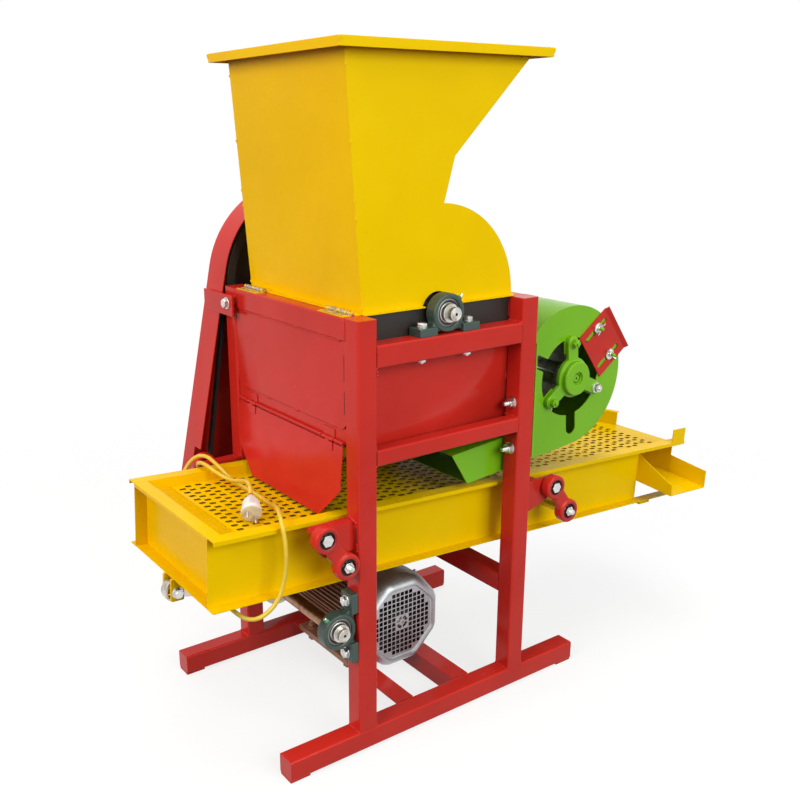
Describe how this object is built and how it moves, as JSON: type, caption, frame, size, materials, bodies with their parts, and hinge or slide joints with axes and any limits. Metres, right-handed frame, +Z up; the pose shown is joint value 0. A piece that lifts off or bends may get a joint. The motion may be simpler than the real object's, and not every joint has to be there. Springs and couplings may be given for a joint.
{
  "type": "peanut sheller",
  "caption": "Free-standing powered peanut sheller: tall hopper over a rotor drum, belt drive behind a guard, blower fan and a long swinging sieve tray with a side spout.",
  "frame": {"origin": "on the floor, under the middle of the machine's bounding box without its supply cord", "axes": "+X along the sieve tray towards its discharge end, +Y towards the belt guard, +Z up"},
  "size_m": [1.2849, 0.5672, 1.265],
  "materials": {
    "red_paint": "semi-gloss red enamel over steel tube and sheet",
    "black_paint": "dull black enamel",
    "yellow_paint": "semi-gloss yellow enamel over sheet steel",
    "green_paint": "semi-gloss light green enamel",
    "housing_iron": "dark green-grey painted casting",
    "bare_steel": "bare machined or rolled steel",
    "zinc_steel": "bright zinc-plated steel",
    "dark_iron": "dark brown-black cast iron",
    "motor_cast": "dusty brown-grey painted casting",
    "grey_paint": "grey enamel on pressed sheet",
    "black_plastic": "black moulded plastic",
    "belt_rubber": "black rubber with fabric cover",
    "cord_yellow": "soft yellow cable sheath",
    "plug_white": "white moulded plastic with a cream face"
  },
  "bodies": {
    "frame": {"frame_posts": "red_paint", "foot_rails": "red_paint", "frame_rails": "red_paint", "motor_rails": "red_paint", "chamber_panels": "red_paint", "chamber_plates": "black_paint", "concave_grate": "bare_steel", "belt_guard": "red_paint", "pillow_housings": "housing_iron", "bearing_inserts": "bare_steel", "link_brackets": "red_paint", "fan_casing": "green_paint", "fan_bearing_spiders": "green_paint", "frame_bolts": "zinc_steel", "motor_housing": "motor_cast", "motor_cowl": "grey_paint", "terminal_box": "motor_cast", "cable_gland": "black_plastic", "motor_belt": "belt_rubber", "main_belt": "belt_rubber", "fan_belt": "belt_rubber", "cord": "cord_yellow", "plug": "plug_white", "fixed_hinges": "bare_steel"},
    "hopper": {"hopper_side_plates": "yellow_paint", "hopper_front_plate": "yellow_paint", "hopper_back_plate": "yellow_paint", "drum_cover": "yellow_paint", "hopper_rim": "yellow_paint", "hopper_hinges_moving": "yellow_paint"},
    "flap": {"flap_plate": "red_paint", "flap_hinges_moving": "bare_steel"},
    "rotor": {"rotor_shaft": "bare_steel", "rotor_discs": "bare_steel", "rotor_bars": "bare_steel", "rotor_pulley": "dark_iron"},
    "countershaft": {"countershaft": "bare_steel", "eccentric": "bare_steel", "countershaft_pulley": "dark_iron"},
    "rod": {"connecting_rod": "bare_steel"},
    "fan_rotor": {"fan_shaft": "bare_steel", "fan_impeller": "bare_steel", "fan_pulley": "dark_iron"},
    "motor_rotor": {"motor_shaft": "bare_steel", "cooling_fan": "black_plastic", "motor_pulley": "dark_iron"},
    "link_near_left": {"link_near_left": "red_paint"},
    "link_near_right": {"link_near_right": "red_paint"},
    "link_far_left": {"link_far_left": "red_paint"},
    "link_far_right": {"link_far_right": "red_paint"},
    "tray": {"tray_channels": "yellow_paint", "tray_end_plate": "yellow_paint", "tray_deck": "yellow_paint", "tray_pan": "yellow_paint", "tray_spout": "yellow_paint", "tray_studs": "zinc_steel", "drive_ears": "yellow_paint"},
    "shutter": {"shutter_plate": "red_paint"},
    "wing_nut_upper": {"wing_nut_upper": "zinc_steel"},
    "wing_nut_lower": {"wing_nut_lower": "zinc_steel"}
  },
  "joints": [
    {"name": "hopper_tilt", "type": "hinge", "parent": "frame", "child": "hopper", "pos_m": [-0.3477, -0.02842, 0.8293], "axis": [0, -1, 0], "range_deg": [0, 90]},
    {"name": "flap_swing", "type": "hinge", "parent": "frame", "child": "flap", "pos_m": [-0.3687, -0.02842, 0.601], "axis": [0, 1, 0], "range_deg": [-5.2, 20]},
    {"name": "rotor_spin", "type": "hinge", "parent": "frame", "child": "rotor", "pos_m": [-0.1667, -0.02842, 0.8165], "axis": [0, 1, 0], "continuous": true},
    {"name": "countershaft_spin", "type": "hinge", "parent": "frame", "child": "countershaft", "pos_m": [-0.4062, -0.02842, 0.264], "axis": [0, 1, 0], "continuous": true},
    {"name": "rod_turn", "type": "hinge", "parent": "countershaft", "child": "rod", "pos_m": [-0.4032, -0.02842, 0.264], "axis": [0, 1, 0], "continuous": true},
    {"name": "fan_spin", "type": "hinge", "parent": "frame", "child": "fan_rotor", "pos_m": [0.1943, -0.02842, 0.637], "axis": [0, 1, 0], "continuous": true},
    {"name": "motor_spin", "type": "hinge", "parent": "frame", "child": "motor_rotor", "pos_m": [-0.1617, -0.02842, 0.144], "axis": [0, 1, 0], "continuous": true},
    {"name": "link_near_left_swing", "type": "hinge", "parent": "frame", "child": "link_near_left", "pos_m": [-0.4387, -0.26042, 0.456], "axis": [0, 1, 0], "range_deg": [0, 5.6]},
    {"name": "link_near_right_swing", "type": "hinge", "parent": "frame", "child": "link_near_right", "pos_m": [0.11554, -0.26042, 0.42695], "axis": [0, 1, 0], "range_deg": [0, 5.6]},
    {"name": "link_far_left_swing", "type": "hinge", "parent": "frame", "child": "link_far_left", "pos_m": [-0.4387, 0.20358, 0.456], "axis": [0, 1, 0], "range_deg": [0, 5.6]},
    {"name": "link_far_right_swing", "type": "hinge", "parent": "frame", "child": "link_far_right", "pos_m": [0.11554, 0.20358, 0.42695], "axis": [0, 1, 0], "range_deg": [0, 5.6]},
    {"name": "tray_level", "type": "hinge", "parent": "link_near_left", "child": "tray", "pos_m": [-0.3962, -0.26042, 0.3945], "axis": [0, 1, 0], "range_deg": [-5.6, 0]},
    {"name": "shutter_slide", "type": "slide", "parent": "frame", "child": "shutter", "axis": [0.7986, 0, 0.6018], "range_m": [0, 0.03]},
    {"name": "wing_nut_upper_turn", "type": "hinge", "parent": "frame", "child": "wing_nut_upper", "pos_m": [0.2663, -0.22842, 0.73], "axis": [0, 1, 0], "continuous": true},
    {"name": "wing_nut_lower_turn", "type": "hinge", "parent": "frame", "child": "wing_nut_lower", "pos_m": [0.3073, -0.22842, 0.67], "axis": [0, 1, 0], "continuous": true}
  ],
  "couplings": [
    {"joint": "countershaft_spin", "follows": "rotor_spin", "ratio": 5.6061},
    {"joint": "rod_turn", "follows": "rotor_spin", "ratio": -5.6061},
    {"joint": "motor_spin", "follows": "rotor_spin", "ratio": 7.4747},
    {"joint": "fan_spin", "follows": "rotor_spin", "ratio": 4.625},
    {"joint": "link_near_right_swing", "follows": "link_near_left_swing", "ratio": 1},
    {"joint": "link_far_left_swing", "follows": "link_near_left_swing", "ratio": 1},
    {"joint": "link_far_right_swing", "follows": "link_near_left_swing", "ratio": 1},
    {"joint": "tray_level", "follows": "link_near_left_swing", "ratio": -1}
  ]
}
